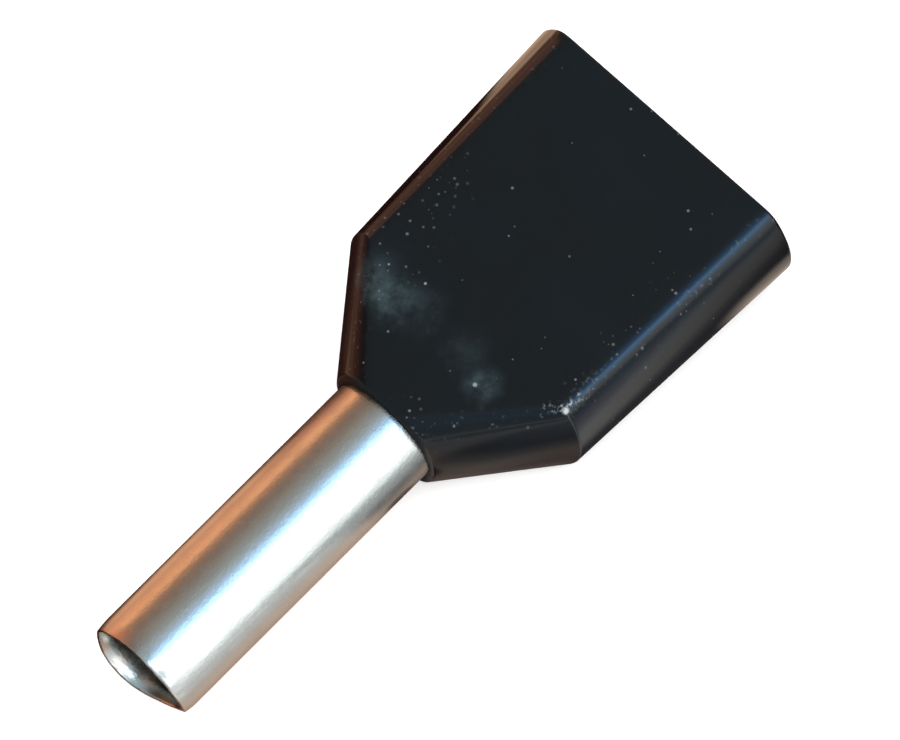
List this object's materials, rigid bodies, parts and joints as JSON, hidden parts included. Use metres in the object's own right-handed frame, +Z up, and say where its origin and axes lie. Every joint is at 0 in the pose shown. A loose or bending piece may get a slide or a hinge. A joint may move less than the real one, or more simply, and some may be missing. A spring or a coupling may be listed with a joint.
{
  "type": "twin wire ferrule",
  "caption": "Insulated crimp sleeve with a flattened funnel collar that joins a pair of stranded wires into one terminal end.",
  "frame": {"origin": "middle of the overall length and width, on the plane of the collar's flat underside", "axes": "+X along the sleeve's axis from the tip towards the wire entry, +Z up out of the collar's upper flat"},
  "size_m": [0.0164, 0.0074, 0.0032],
  "materials": {
    "collar_plastic": "satin",
    "tinned_copper": "satin"
  },
  "bodies": {
    "root": {"insulating_collar": "collar_plastic", "contact_sleeve": "tinned_copper"}
  },
  "joints": []
}
